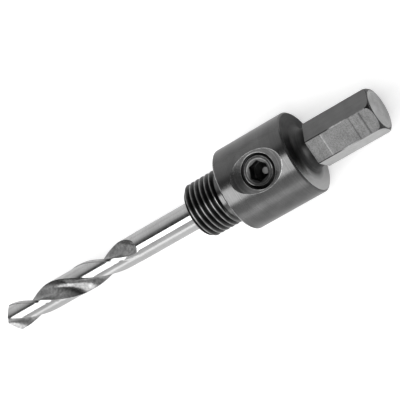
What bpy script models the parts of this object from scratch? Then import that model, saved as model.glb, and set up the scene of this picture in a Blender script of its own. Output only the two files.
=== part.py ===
"""Hole saw arbor with its pilot drill and set screw, lying on its round body.

The arbor's axis runs along X: the drill's tip is at -X and the hex shank at +X.
The set screw points up, along +Z. The origin is on the table, under the middle of the arbor.
Stations along the axis are measured from the shoulder that the hole saw seats on,
and grow towards the hex shank.
"""

import math

import bmesh
import bpy
from mathutils import Matrix, Vector

MM = 0.001

# The one clearance kept between pieces that touch on the real arbor
FIT_GAP = 0.3 * MM

# Round body that carries the set screw
BODY_DIAMETER = 19.05 * MM
BODY_LENGTH = 17.6 * MM
BODY_CHAMFER = 0.4 * MM

# Threaded nose that the hole saw screws onto, 1/2 in with 20 threads to the inch
NOSE_LENGTH = 10.3 * MM
NOSE_CHAMFER = 0.9 * MM
THREAD_DIAMETER = 12.66 * MM
THREAD_PITCH = 1.27 * MM
RELIEF_WIDTH = 2.3 * MM
RELIEF_DIAMETER = 11.2 * MM

# Hex shank for the drill chuck, 3/8 in across its flats, and the round neck before it
NECK_LENGTH = 2.7 * MM
NECK_DIAMETER = 9.2 * MM
NECK_FILLET = 2.0 * MM
HEX_ACROSS_FLATS = 9.35 * MM
HEX_ACROSS_CORNERS = 10.65 * MM
HEX_LENGTH = 15.9 * MM
HEX_END_DIAMETER = 8.7 * MM
HEX_NOSE_LENGTH = 1.7 * MM
HEX_TURN = math.radians(21.5)

# Pilot drill, 1/4 in
DRILL_DIAMETER = 6.35 * MM
DRILL_LENGTH = 80.0 * MM
DRILL_SEATED_LENGTH = 25.4 * MM
DRILL_END_CHAMFER = 0.4 * MM
DRILL_POINT_ANGLE = math.radians(118.0)
LIP_CLEARANCES = (math.radians(10.0), math.radians(30.0))
LIP_TURN = math.radians(95.0)
FLUTE_LENGTH = 38.8 * MM
FLUTE_LEAD = 41.5 * MM
FLUTE_ANGLE = math.radians(98.0)
FLUTE_RUN_OUT = 8.0 * MM
WEB_THICKNESS = 1.3 * MM
MARGIN_WIDTH = 0.6 * MM
LAND_CLEARANCE = 0.12 * MM
DRILL_FLAT_DEPTH = 0.3 * MM
DRILL_FLAT_LENGTH = 10.6 * MM
BORE_MOUTH_CHAMFER = 0.4 * MM

# Set screw, 5/16 in with 18 threads to the inch, and its countersunk hole
SCREW_STATION = 9.3 * MM
SCREW_DIAMETER = 7.94 * MM
SCREW_PITCH = 1.411 * MM
SCREW_LENGTH = 4.76 * MM
SCREW_CHAMFER = 0.45 * MM
SOCKET_ACROSS_FLATS = 4.0 * MM
SOCKET_DEPTH = 2.5 * MM
SOCKET_CHAMFER = 0.25 * MM
COUNTERSINK_DIAMETER = 12.5 * MM
COUNTERSINK_ANGLE = math.radians(120.0)

# Facets round each turned piece and along each curve
BODY_FACETS = 36
THREAD_FACETS = 36
BORE_FACETS = 48
SCREW_FACETS = 48
ARC_STEPS = 6
FLUTE_FACETS = 12
LAND_POINTS = 5
FLUTE_STEP = 1.0 * MM

# Depth of a 60 degree thread for each unit of its pitch, and the flats at its crest and root
THREAD_DEPTH_RATIO = 0.5413
CREST_FLAT_RATIO = 0.125
ROOT_FLAT_RATIO = 0.25
PITCH_DIAMETER_RATIO = 0.6495

# How far a cutter reaches past the face that it cuts through
OVERCUT = 1.0 * MM

# Points closer than this are one point
WELD_DISTANCE = 0.001 * MM

# Sizes that follow from the ones above
body_radius = BODY_DIAMETER / 2
drill_radius = DRILL_DIAMETER / 2
thread_radius = THREAD_DIAMETER / 2
bore_radius = drill_radius + FIT_GAP
hex_start = BODY_LENGTH + NECK_LENGTH
hex_end = hex_start + HEX_LENGTH
drill_end = DRILL_SEATED_LENGTH - NOSE_LENGTH
drill_tip = drill_end - DRILL_LENGTH
bore_end = drill_end + FIT_GAP
drill_flat_height = drill_radius - DRILL_FLAT_DEPTH
screw_top_height = drill_flat_height + SCREW_LENGTH
screw_tip_height = drill_flat_height + FIT_GAP
screw_solid_length = screw_top_height - screw_tip_height
screw_pitch_radius = (SCREW_DIAMETER - PITCH_DIAMETER_RATIO * SCREW_PITCH) / 2
screw_radius = screw_pitch_radius - FIT_GAP / 2
screw_hole_radius = screw_pitch_radius + FIT_GAP / 2
axis_height = body_radius * math.cos(math.pi / BODY_FACETS)
axis_shift = -(drill_tip + hex_end) / 2


def clear_scene():
    for item in list(bpy.data.objects):
        bpy.data.objects.remove(item, do_unlink=True)
    for item in list(bpy.data.collections):
        bpy.data.collections.remove(item)


def new_collection(name):
    collection = bpy.data.collections.new(name)
    bpy.context.scene.collection.children.link(collection)
    return collection


def steel(name, colour, roughness):
    material = bpy.data.materials.new(name)
    material.use_nodes = True
    shader = material.node_tree.nodes["Principled BSDF"]
    shader.inputs["Base Color"].default_value = (*colour, 1.0)
    shader.inputs["Metallic"].default_value = 1.0
    shader.inputs["Roughness"].default_value = roughness
    return material


def new_object(name, mesh, collection, parent):
    item = bpy.data.objects.new(name, mesh)
    collection.objects.link(item)
    item.parent = parent
    return item


def new_cutter(name, mesh, collection, parent):
    item = new_object(name, mesh, collection, parent)
    item.hide_render = True
    item.display_type = "WIRE"
    return item


def mesh_from(name, bm):
    mesh = bpy.data.meshes.new(name)
    bm.to_mesh(mesh)
    bm.free()
    return mesh


def shade_round(item, sharp_angle=math.radians(30.0)):
    item.data.shade_smooth()
    item.data.set_sharp_from_angle(angle=sharp_angle)


def outline_mesh(name, outline, turn=0.0):
    """An open outline of (radius, height) points, standing out from Z at the given turn."""
    bm = bmesh.new()
    points = [bm.verts.new((r * math.cos(turn), r * math.sin(turn), z)) for r, z in outline]
    for start, end in zip(points, points[1:]):
        bm.edges.new((start, end))
    return mesh_from(name, bm)


def add_screw(item, facets, pitch=0.0, turns=1):
    """Spin an outline round Z. With a pitch it climbs by that much in each turn."""
    spin = item.modifiers.new("Turned", "SCREW")
    spin.axis = "Z"
    spin.steps = facets
    spin.render_steps = facets
    spin.screw_offset = pitch
    spin.iterations = turns
    spin.use_merge_vertices = True
    spin.merge_threshold = WELD_DISTANCE
    spin.use_smooth_shade = True
    return spin


def add_boolean(item, other, operation):
    boolean = item.modifiers.new(other.name, "BOOLEAN")
    boolean.operation = operation
    boolean.solver = "EXACT"
    boolean.object = other
    return boolean


def arc(centre, radius, start, end, steps):
    """Points of a round stretch of an outline, from one angle to the other."""
    points = []
    for index in range(steps + 1):
        angle = start + (end - start) * index / steps
        points.append((centre[0] + radius * math.cos(angle), centre[1] + radius * math.sin(angle)))
    return points


def hex_end_outline():
    """The rounded end of the hex shank, from its flat face out to its corners."""
    end_radius = HEX_END_DIAMETER / 2
    corner_radius = HEX_ACROSS_CORNERS / 2
    shoulder = hex_end - HEX_NOSE_LENGTH
    points = [(0.0, hex_end)]
    for index in range(ARC_STEPS + 1):
        angle = math.pi / 2 * (1 - index / ARC_STEPS)
        radius = end_radius + (corner_radius - end_radius) * math.cos(angle)
        points.append((radius, shoulder + HEX_NOSE_LENGTH * math.sin(angle)))
    return points


def body_outline():
    """The bar as it leaves the lathe: shank, neck, fillet, body and the relief behind the thread."""
    neck_radius = NECK_DIAMETER / 2
    relief_radius = RELIEF_DIAMETER / 2
    fillet = arc(
        (neck_radius + NECK_FILLET, BODY_LENGTH + NECK_FILLET),
        NECK_FILLET,
        math.pi,
        3 * math.pi / 2,
        ARC_STEPS,
    )
    outline = hex_end_outline()
    outline.append((HEX_ACROSS_CORNERS / 2, hex_start))
    outline.append((neck_radius, hex_start))
    outline += fillet
    outline.append((body_radius - BODY_CHAMFER, BODY_LENGTH))
    outline.append((body_radius, BODY_LENGTH - BODY_CHAMFER))
    outline.append((body_radius, BODY_CHAMFER))
    outline.append((body_radius - BODY_CHAMFER, 0.0))
    outline.append((relief_radius, 0.0))
    outline.append((relief_radius, -RELIEF_WIDTH - THREAD_PITCH / 2))
    outline.append((0.0, -RELIEF_WIDTH - THREAD_PITCH / 2))
    return outline


def thread_profile():
    """One pitch of the thread, from the middle of a root over the crest to the next root."""
    root_radius = thread_radius - THREAD_DEPTH_RATIO * THREAD_PITCH
    half_root = ROOT_FLAT_RATIO * THREAD_PITCH / 2
    half_crest = CREST_FLAT_RATIO * THREAD_PITCH / 2
    middle = THREAD_PITCH / 2
    return [
        (root_radius, THREAD_PITCH),
        (root_radius, THREAD_PITCH - half_root),
        (thread_radius, middle + half_crest),
        (thread_radius, middle - half_crest),
        (root_radius, half_root),
        (root_radius, 0.0),
    ]


def threaded_bar(collection, parent):
    """A closed bar with the nose's thread on it, longer than the nose at both ends."""
    turns = math.ceil(NOSE_LENGTH / THREAD_PITCH) + 3
    surface = new_object("thread_surface", outline_mesh("thread_surface", thread_profile()), collection, parent)
    add_screw(surface, THREAD_FACETS, pitch=THREAD_PITCH, turns=turns)
    depsgraph = bpy.context.evaluated_depsgraph_get()
    mesh = bpy.data.meshes.new_from_object(surface.evaluated_get(depsgraph))
    bpy.data.objects.remove(surface)

    bm = bmesh.new()
    bm.from_mesh(mesh)
    bpy.data.meshes.remove(mesh)
    bmesh.ops.remove_doubles(bm, verts=bm.verts, dist=WELD_DISTANCE)
    rim = [edge for edge in bm.edges if edge.is_boundary]
    middle = (turns + 1) * THREAD_PITCH / 2
    for is_top in (False, True):
        edges = [edge for edge in rim if (edge.verts[0].co.z > middle) == is_top]
        made = bmesh.ops.extrude_edge_only(bm, edges=edges)["geom"]
        points = [part for part in made if isinstance(part, bmesh.types.BMVert)]
        apex = (turns + 2) * THREAD_PITCH if is_top else -THREAD_PITCH
        bmesh.ops.pointmerge(bm, verts=points, merge_co=(0.0, 0.0, apex))
    bmesh.ops.recalc_face_normals(bm, faces=bm.faces)
    bmesh.ops.triangulate(bm, faces=bm.faces)
    bar = new_cutter("threaded_bar", mesh_from("threaded_bar", bm), collection, parent)
    bar.location.z = -NOSE_LENGTH - 2 * THREAD_PITCH
    return bar


def threaded_nose(collection, parent):
    """The thread between its chamfered front and the relief before the shoulder."""
    nose = threaded_bar(collection, parent)
    nose.name = "threaded_nose"
    outer = thread_radius + FIT_GAP
    front = thread_radius - NOSE_CHAMFER
    outline = [
        (0.0, -RELIEF_WIDTH),
        (outer, -RELIEF_WIDTH),
        (outer, -NOSE_LENGTH + outer - front),
        (front, -NOSE_LENGTH),
        (0.0, -NOSE_LENGTH),
    ]
    blank = new_cutter("nose_blank", outline_mesh("nose_blank", outline), collection, parent)
    add_screw(blank, THREAD_FACETS)
    add_boolean(nose, blank, "INTERSECT")
    return nose


def cut_hex(body, collection, parent):
    """Mill the six flats of the shank."""
    thickness = HEX_ACROSS_CORNERS
    length = HEX_LENGTH + 2 * OVERCUT
    for index in range(6):
        bm = bmesh.new()
        bmesh.ops.create_cube(bm, size=1.0)
        size = Matrix.Diagonal((thickness, 2 * thickness, length, 1.0))
        place = Matrix.Translation((HEX_ACROSS_FLATS / 2 + thickness / 2, 0.0, 0.0))
        bmesh.ops.transform(bm, matrix=place @ size, verts=bm.verts)
        name = f"hex_flat_{index + 1}"
        cutter = new_cutter(name, mesh_from(name, bm), collection, parent)
        reach_back = min(OVERCUT, NECK_LENGTH / 2)
        cutter.location.z = hex_start - reach_back + length / 2
        cutter.rotation_euler.z = math.pi + HEX_TURN + index * math.pi / 3
        add_boolean(body, cutter, "DIFFERENCE")


def cut_bore(body, collection, parent):
    """Drill the blind bore for the pilot drill, with a small chamfer at its mouth."""
    mouth_radius = bore_radius + BORE_MOUTH_CHAMFER
    cone_depth = bore_radius / math.tan(DRILL_POINT_ANGLE / 2)
    outline = [
        (0.0, bore_end + cone_depth),
        (bore_radius, bore_end),
        (bore_radius, -NOSE_LENGTH + BORE_MOUTH_CHAMFER),
        (mouth_radius + OVERCUT, -NOSE_LENGTH - OVERCUT),
        (0.0, -NOSE_LENGTH - OVERCUT),
    ]
    bore = new_cutter("drill_bore", outline_mesh("drill_bore", outline), collection, parent)
    add_screw(bore, BORE_FACETS)
    add_boolean(body, bore, "DIFFERENCE")


def cut_screw_hole(body, collection, parent):
    """Drill and countersink the radial hole for the set screw, down into the bore."""
    slope = math.tan(COUNTERSINK_ANGLE / 2)
    cone_bottom = body_radius - (COUNTERSINK_DIAMETER / 2 - screw_hole_radius) / slope
    top = body_radius + OVERCUT
    bottom = bore_radius / 3
    outline = [
        (0.0, top),
        (screw_hole_radius + (top - cone_bottom) * slope, top),
        (screw_hole_radius, cone_bottom),
        (screw_hole_radius, bottom),
        (0.0, bottom),
    ]
    hole = new_cutter("screw_hole", outline_mesh("screw_hole", outline), collection, parent)
    add_screw(hole, SCREW_FACETS)
    hole.location.x = SCREW_STATION
    add_boolean(body, hole, "DIFFERENCE")


def make_arbor_body(collection, cutters, axis, upright, material):
    half_facet = math.pi / BODY_FACETS
    mesh = outline_mesh("arbor_body", body_outline(), turn=half_facet)
    body = new_object("arbor_body", mesh, collection, axis)
    add_screw(body, BODY_FACETS)
    add_boolean(body, threaded_nose(cutters, axis), "UNION")
    cut_hex(body, cutters, axis)
    cut_bore(body, cutters, axis)
    cut_screw_hole(body, cutters, upright)
    body.data.materials.append(material)
    return body


def bezier(controls, position):
    """A point of a cubic curve through four control points."""
    rest = 1.0 - position
    weights = (rest**3, 3 * rest**2 * position, 3 * rest * position**2, position**3)
    return sum((control * weight for control, weight in zip(controls, weights)), Vector((0.0, 0.0)))


def resample(points, count):
    """Spread a number of points evenly along a line of points."""
    lengths = [0.0]
    for start, end in zip(points, points[1:]):
        lengths.append(lengths[-1] + (end - start).length)
    spread = []
    segment = 0
    for index in range(count):
        target = lengths[-1] * index / (count - 1)
        while segment < len(points) - 2 and lengths[segment + 1] < target:
            segment += 1
        span = lengths[segment + 1] - lengths[segment]
        part = (target - lengths[segment]) / span if span else 0.0
        spread.append(points[segment].lerp(points[segment + 1], part))
    return spread


def flute_wall(lift):
    """The flute from the cutting edge round to the heel, inside the drill's outer circle.

    The cutting edge lies half a web ahead of the drill's centre. The lift moves the flute
    outwards, as the grinding wheel leaves the drill where the flute runs out.
    """
    web = WEB_THICKNESS / 2
    edge_angle = -math.asin(web / drill_radius)
    heel_angle = edge_angle - FLUTE_ANGLE
    middle_angle = (edge_angle + heel_angle) / 2
    outwards = Vector((math.cos(middle_angle), math.sin(middle_angle)))
    edge = Vector((math.cos(edge_angle), math.sin(edge_angle))) * drill_radius
    heel = Vector((math.cos(heel_angle), math.sin(heel_angle))) * drill_radius
    controls = (
        edge,
        Vector((web, -web / 2)),
        Vector((-web, -web)),
        heel,
    )
    samples = 80
    wall = [bezier(controls, index / samples) + outwards * lift for index in range(samples + 1)]
    inside = [point for point in wall if point.length <= drill_radius * 1.000001]
    if len(inside) < 4:
        half = math.radians(3.0)
        angles = [middle_angle + half - 2 * half * index / samples for index in range(samples + 1)]
        inside = [Vector((math.cos(angle), math.sin(angle))) * drill_radius for angle in angles]
    ends = (inside[0].normalized() * drill_radius, inside[-1].normalized() * drill_radius)
    return resample([ends[0]] + inside[1:-1] + [ends[1]], FLUTE_FACETS + 1)


def drill_section(lift, land_clearance):
    """Half of the drill's section: a land with its margin, then the flute behind its heel."""
    wall = flute_wall(lift)
    edge_angle = math.atan2(wall[0].y, wall[0].x)
    heel_angle = math.atan2(wall[-1].y, wall[-1].x) + math.pi
    margin_end = edge_angle + MARGIN_WIDTH / drill_radius
    step_end = margin_end + LAND_CLEARANCE / drill_radius
    land_radius = drill_radius - land_clearance
    points = [(edge_angle, drill_radius), (margin_end, drill_radius)]
    for index in range(LAND_POINTS):
        angle = step_end + (heel_angle - step_end) * index / (LAND_POINTS - 1)
        points.append((angle, land_radius))
    half = [Vector((radius * math.cos(angle), radius * math.sin(angle))) for angle, radius in points]
    next_wall = [-point for point in reversed(wall)]
    return half + next_wall[1:-1]


def full_section(lift, land_clearance, turn):
    half = drill_section(lift, land_clearance)
    spin = Matrix.Rotation(turn, 2)
    return [spin @ point for point in half] + [spin @ -point for point in half]


def drill_sections():
    """The drill's sections from just before its tip to its chamfered end, with their heights."""
    start = -OVERCUT / 2
    flute_end = FLUTE_LENGTH
    run_out_start = flute_end - FLUTE_RUN_OUT
    depth = drill_radius - WEB_THICKNESS / 2
    count = math.ceil((flute_end - start) / FLUTE_STEP)
    corner_height = drill_radius / math.tan(DRILL_POINT_ANGLE / 2)
    corner_angle = -math.asin(WEB_THICKNESS / 2 / drill_radius)
    sections = []
    turn = 0.0
    for index in range(count + 1):
        height = start + (flute_end - start) * index / count
        faded = max(0.0, (height - run_out_start) / FLUTE_RUN_OUT)
        turn = LIP_TURN - corner_angle + (height - corner_height) / FLUTE_LEAD * math.tau
        clearance = LAND_CLEARANCE * (1.0 - faded)
        lift = depth * (1.0 - math.sqrt(1.0 - min(1.0, faded) ** 2))
        sections.append((height, full_section(lift, clearance, turn), 1.0))
    plain = full_section(2 * depth, 0.0, turn)
    sections.append((DRILL_LENGTH - DRILL_END_CHAMFER, plain, 1.0))
    sections.append((DRILL_LENGTH, plain, 1.0 - DRILL_END_CHAMFER / drill_radius))
    return sections


def drill_mesh():
    """Loft the sections. Their shape changes from one to the next, so the faces are made here."""
    bm = bmesh.new()
    rings = []
    for height, section, scale in drill_sections():
        rings.append([bm.verts.new((point.x * scale, point.y * scale, height)) for point in section])
    for low, high in zip(rings, rings[1:]):
        for index in range(len(low)):
            following = (index + 1) % len(low)
            bm.faces.new((low[index], low[following], high[following], high[index]))
    bmesh.ops.triangulate(bm, faces=bm.faces)
    bm.faces.new(reversed(rings[0]))
    bm.faces.new(rings[-1])
    return mesh_from("pilot_drill", bm)


def grind_point(drill, collection):
    """Grind the four facets of the point, two behind each lip."""
    size = 4 * DRILL_DIAMETER
    lip = Vector((math.sin(DRILL_POINT_ANGLE / 2), 0.0, math.cos(DRILL_POINT_ANGLE / 2)))
    edge_angle = -math.asin(WEB_THICKNESS / 2 / drill_radius)
    corner_height = drill_radius / math.tan(DRILL_POINT_ANGLE / 2)
    tip_turn = LIP_TURN - edge_angle - corner_height / FLUTE_LEAD * math.tau
    for side in (0, 1):
        for number, clearance in enumerate(LIP_CLEARANCES):
            behind = Vector((0.0, math.cos(clearance), math.sin(clearance)))
            normal = lip.cross(behind).normalized()
            across = normal.cross(lip)
            frame = Matrix((lip, across, normal)).transposed().to_4x4()
            bm = bmesh.new()
            bmesh.ops.create_cube(bm, size=size)
            bmesh.ops.translate(bm, vec=(0.0, 0.0, -size / 2), verts=bm.verts)
            bmesh.ops.transform(bm, matrix=frame, verts=bm.verts)
            name = f"point_facet_{side + 1}_{number + 1}"
            cutter = new_cutter(name, mesh_from(name, bm), collection, drill)
            cutter.rotation_euler.z = tip_turn + side * math.pi
            add_boolean(drill, cutter, "DIFFERENCE")


def cut_drill_flat(drill, collection):
    """Grind the flat that the set screw presses on, open at the shank's end."""
    length = DRILL_FLAT_LENGTH + OVERCUT
    bm = bmesh.new()
    bmesh.ops.create_cube(bm, size=1.0)
    size = Matrix.Diagonal((DRILL_DIAMETER, 2 * DRILL_DIAMETER, length, 1.0))
    place = Matrix.Translation((-drill_flat_height - DRILL_DIAMETER / 2, 0.0, 0.0))
    bmesh.ops.transform(bm, matrix=place @ size, verts=bm.verts)
    cutter = new_cutter("drill_flat", mesh_from("drill_flat", bm), collection, drill)
    cutter.location.z = DRILL_LENGTH - DRILL_FLAT_LENGTH + length / 2
    add_boolean(drill, cutter, "DIFFERENCE")


def make_pilot_drill(collection, cutters, axis, material):
    drill = new_object("pilot_drill", drill_mesh(), collection, axis)
    drill.location.z = drill_tip
    shade_round(drill)
    grind_point(drill, cutters)
    cut_drill_flat(drill, cutters)
    drill.data.materials.append(material)
    return drill


def cut_socket(screw, collection):
    """Form the hex socket with its small entry chamfer and drilled bottom."""
    corner_radius = SOCKET_ACROSS_FLATS / math.sqrt(3)
    bm = bmesh.new()
    depth = SOCKET_DEPTH + OVERCUT
    bmesh.ops.create_cone(
        bm,
        cap_ends=True,
        segments=6,
        radius1=corner_radius,
        radius2=corner_radius,
        depth=depth,
    )
    socket = new_cutter("socket", mesh_from("socket", bm), collection, screw)
    socket.location.z = screw_solid_length - SOCKET_DEPTH + depth / 2
    add_boolean(screw, socket, "DIFFERENCE")

    wide = corner_radius + SOCKET_CHAMFER
    flat_radius = SOCKET_ACROSS_FLATS / 2
    outline = [
        (0.0, screw_solid_length + OVERCUT),
        (wide + OVERCUT, screw_solid_length + OVERCUT),
        (flat_radius, screw_solid_length - (wide - flat_radius)),
        (0.0, screw_solid_length - (wide - flat_radius)),
    ]
    entry = new_cutter("socket_entry", outline_mesh("socket_entry", outline), collection, screw)
    add_screw(entry, SCREW_FACETS)
    add_boolean(screw, entry, "DIFFERENCE")


def make_set_screw(collection, cutters, upright, material):
    outline = [
        (0.0, screw_solid_length),
        (screw_radius - SCREW_CHAMFER, screw_solid_length),
        (screw_radius, screw_solid_length - SCREW_CHAMFER),
        (screw_radius, SCREW_CHAMFER),
        (screw_radius - SCREW_CHAMFER, 0.0),
        (0.0, 0.0),
    ]
    screw = new_object("set_screw", outline_mesh("set_screw", outline), collection, upright)
    add_screw(screw, SCREW_FACETS)
    screw.location = (SCREW_STATION, 0.0, screw_tip_height)
    cut_socket(screw, cutters)
    screw.data.materials.append(material)
    return screw


def main():
    clear_scene()
    parts = new_collection("hole_saw_arbor")
    cutters = new_collection("cutters")
    shoulder = new_object("shoulder", None, parts, None)
    shoulder.location = (axis_shift, 0.0, axis_height)
    axis = new_object("arbor_axis", None, parts, shoulder)
    axis.rotation_euler.y = math.pi / 2
    body_steel = steel("gunmetal_steel", (0.13, 0.13, 0.135), 0.35)
    screw_steel = steel("black_oxide_steel", (0.03, 0.03, 0.032), 0.45)
    drill_steel = steel("bright_tool_steel", (0.62, 0.62, 0.63), 0.18)
    make_arbor_body(parts, cutters, axis, shoulder, body_steel)
    make_pilot_drill(parts, cutters, axis, drill_steel)
    make_set_screw(parts, cutters, shoulder, screw_steel)


main()
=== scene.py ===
import math

import bmesh
import bpy
from mathutils import Matrix, Vector


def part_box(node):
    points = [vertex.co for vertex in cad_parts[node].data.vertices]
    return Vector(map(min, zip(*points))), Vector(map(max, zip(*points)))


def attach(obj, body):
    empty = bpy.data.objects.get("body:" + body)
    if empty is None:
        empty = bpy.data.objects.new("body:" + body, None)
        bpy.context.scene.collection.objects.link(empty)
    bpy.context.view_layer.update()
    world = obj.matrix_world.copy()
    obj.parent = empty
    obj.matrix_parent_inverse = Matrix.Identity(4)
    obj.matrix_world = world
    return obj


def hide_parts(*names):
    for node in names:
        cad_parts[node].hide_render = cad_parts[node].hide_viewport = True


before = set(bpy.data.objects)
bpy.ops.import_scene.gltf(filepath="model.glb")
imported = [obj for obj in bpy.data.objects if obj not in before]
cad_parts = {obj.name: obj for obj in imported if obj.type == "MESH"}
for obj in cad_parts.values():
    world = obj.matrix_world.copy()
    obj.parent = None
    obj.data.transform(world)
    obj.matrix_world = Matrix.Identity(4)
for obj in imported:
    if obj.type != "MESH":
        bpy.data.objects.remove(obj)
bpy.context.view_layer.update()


# The arbor's body is one bar of steel: a turned blank with a round body, a filleted neck and
# a relief groove behind the thread. It is turned dry, so fine lines run round it, and it is
# blued to a dark gunmetal grey. Its edges are painted lighter, partly as wear through to lighter
# steel and partly as a painted highlight.
MM = 0.001
SHOULDER_STATION = 10.3 * MM
BODY_LENGTH = 17.6 * MM
BODY_CHAMFER = 0.4 * MM
BODY_INSET = 0.01 * MM
EDGE_ROUND = 0.12 * MM
EDGE_STEPS = 3
NECK_RADIUS = 4.6 * MM
NECK_FILLET = 2.0 * MM
NECK_END = 21.0 * MM
RELIEF_RADIUS = 5.55 * MM
RELIEF_END = 3.0 * MM
RELIEF_FILLET = 0.3 * MM
TURNED_STEPS = 192
WELD = 0.001 * MM

body_low, body_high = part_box("arbor_body")
shoulder_x = body_low.x + SHOULDER_STATION
axis_z = (body_low.z + body_high.z) / 2
body_radius = axis_z - body_low.z - BODY_INSET
arbor_axis = (Vector((shoulder_x, 0, axis_z)), Vector((1, 0, 0)), Vector((0, 0, 1)))


def start_edit(piece):
    """Leave nothing else selected, and edit the whole of one piece."""
    bpy.ops.object.select_all(action="DESELECT")
    bpy.context.view_layer.objects.active = piece
    piece.select_set(True)
    bpy.ops.object.mode_set(mode="EDIT")
    bpy.ops.mesh.select_mode(type="VERT")
    bpy.ops.mesh.select_all(action="SELECT")


def end_edit():
    """Weld the mesh's seams and poles, turn its faces outwards and leave edit mode."""
    bpy.ops.mesh.select_all(action="SELECT")
    bpy.ops.mesh.remove_doubles(threshold=WELD)
    bpy.ops.mesh.normals_make_consistent(inside=False)
    bpy.ops.object.mode_set(mode="OBJECT")


def draw_outline(name, axis, outline):
    """Draw a chain of edges through (station, radius) points beside an axis, one at a time."""
    centre, along, outwards = axis
    points = [centre + along * station + outwards * radius for station, radius in outline]
    bpy.ops.object.select_all(action="DESELECT")
    bpy.ops.mesh.primitive_plane_add(size=MM, location=(0, 0, 0))
    piece = bpy.context.object
    piece.name = name
    piece.data.name = name
    start_edit(piece)
    bpy.ops.mesh.merge(type="CENTER")
    bpy.ops.transform.translate(value=points[0])
    for start, end in zip(points, points[1:]):
        bpy.ops.mesh.extrude_region_move(TRANSFORM_OT_translate={"value": end - start})
    bpy.ops.mesh.select_all(action="SELECT")
    return piece


def turn_piece(name, axis, outline, steps=TURNED_STEPS):
    """Turn an outline that starts and ends on the axis into a closed round piece."""
    piece = draw_outline(name, axis, outline)
    bpy.ops.mesh.spin(steps=steps, angle=math.tau, center=axis[0], axis=axis[1])
    end_edit()
    return piece


def arc(centre, radius, start, end, steps):
    """Points of an outline round an arc between two angles in degrees."""
    angles = [math.radians(start + (end - start) * index / steps) for index in range(steps + 1)]
    return [(centre[0] + radius * math.cos(a), centre[1] + radius * math.sin(a)) for a in angles]


def curve(start, middle, end, steps):
    """Points of an outline along a curve that leaves and ends in line with a middle point."""
    shares = [index / steps for index in range(steps + 1)]
    return [
        tuple(start.lerp(middle, share).lerp(middle.lerp(end, share), share)) for share in shares
    ]


def rounded(before, corner, after):
    """Points of an outline round a worn corner between two others."""
    before, corner, after = Vector(before), Vector(corner), Vector(after)
    start = corner + (before - corner).normalized() * EDGE_ROUND
    end = corner + (after - corner).normalized() * EDGE_ROUND
    return curve(start, corner, end, EDGE_STEPS)


def blank_outline():
    """The turned blank from its rear end in the shank, over the body, to the nose's groove."""
    rear_foot = (BODY_LENGTH, NECK_RADIUS + NECK_FILLET)
    rear_edge = (BODY_LENGTH, body_radius - BODY_CHAMFER)
    rear_corner = (BODY_LENGTH - BODY_CHAMFER, body_radius)
    front_corner = (BODY_CHAMFER, body_radius)
    front_edge = (0, body_radius - BODY_CHAMFER)
    groove_foot = (0, RELIEF_RADIUS + RELIEF_FILLET)
    fillet = (BODY_LENGTH + NECK_FILLET, NECK_RADIUS + NECK_FILLET)
    groove = (-RELIEF_FILLET, RELIEF_RADIUS + RELIEF_FILLET)
    return [
        (NECK_END, 0),
        (NECK_END, NECK_RADIUS),
        *arc(fillet, NECK_FILLET, 270, 180, steps=10),
        *rounded(rear_foot, rear_edge, rear_corner),
        *rounded(rear_edge, rear_corner, front_corner),
        *rounded(rear_corner, front_corner, front_edge),
        *rounded(front_corner, front_edge, groove_foot),
        *arc(groove, RELIEF_FILLET, 0, -90, steps=4),
        (-RELIEF_END, RELIEF_RADIUS),
        (-RELIEF_END, 0),
    ]


arbor_body = turn_piece("turned_arbor_body", arbor_axis, blank_outline())


# The nose that the hole saw screws on to carries a half-inch thread of twenty turns to the
# inch. It is cut on the same bar: one turn of the thread's outline is wound along the axis,
# and then trimmed to a bar with a chamfered front and a run-out into the relief groove.
THREAD_RADIUS = 6.33 * MM
THREAD_PITCH = 1.27 * MM
THREAD_ROOT_RADIUS = 5.6 * MM
THREAD_CREST_STATION = -5.5 * MM
THREAD_FLANK = math.radians(30)
THREAD_SOFTNESS = 0.035 * MM
THREAD_STEPS = 96
NOSE_TURNS = 10
NOSE_CHAMFER = 0.85 * MM
NOSE_RUN_OUT = 2.35 * MM
RUN_OUT_SLOPE = 0.4 * MM
TRIM_CLEARANCE = 0.02 * MM
GROOVE_DEPTH = 0.05 * MM


def cut_thread(name, axis, pitch, root, crest, crest_station, turns, winding=1):
    """Wind one turn of a sixty-degree thread along an axis, and close both of its ends.

    The screw operator winds a chain along X forwards and a chain along Z backwards, and the
    winding, 1 or -1, says which.
    """
    flank = (crest - root) * math.tan(THREAD_FLANK)
    half_crest = pitch / 16
    slope = THREAD_SOFTNESS * math.tan(THREAD_FLANK)
    shape = [
        (half_crest - slope, crest),
        (half_crest + slope, crest - THREAD_SOFTNESS),
        (half_crest + flank - slope, root + THREAD_SOFTNESS),
        (half_crest + flank + slope, root),
    ]
    outline = [(pitch / 2, root)]
    outline += [(station, radius) for station, radius in reversed(shape)]
    outline += [(-station, radius) for station, radius in shape]
    outline += [(-pitch / 2, root)]
    first = crest_station - winding * round(turns / 2) * pitch
    piece = draw_outline(name, axis, [(first + station, radius) for station, radius in outline])
    bpy.ops.mesh.screw(steps=THREAD_STEPS, turns=turns, center=axis[0], axis=axis[1] * winding)
    bpy.ops.mesh.select_all(action="SELECT")
    bpy.ops.mesh.remove_doubles(threshold=2 * WELD)
    bpy.ops.mesh.select_all(action="DESELECT")
    bpy.ops.mesh.select_non_manifold(
        use_wire=False, use_multi_face=False, use_non_contiguous=False, use_verts=False
    )
    bpy.ops.mesh.extrude_region_move(TRANSFORM_OT_translate={"value": (0, 0, 0)})
    bpy.ops.mesh.merge(type="COLLAPSE")
    bpy.ops.mesh.select_all(action="SELECT")
    bpy.ops.mesh.quads_convert_to_tris()
    end_edit()
    return piece


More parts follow.
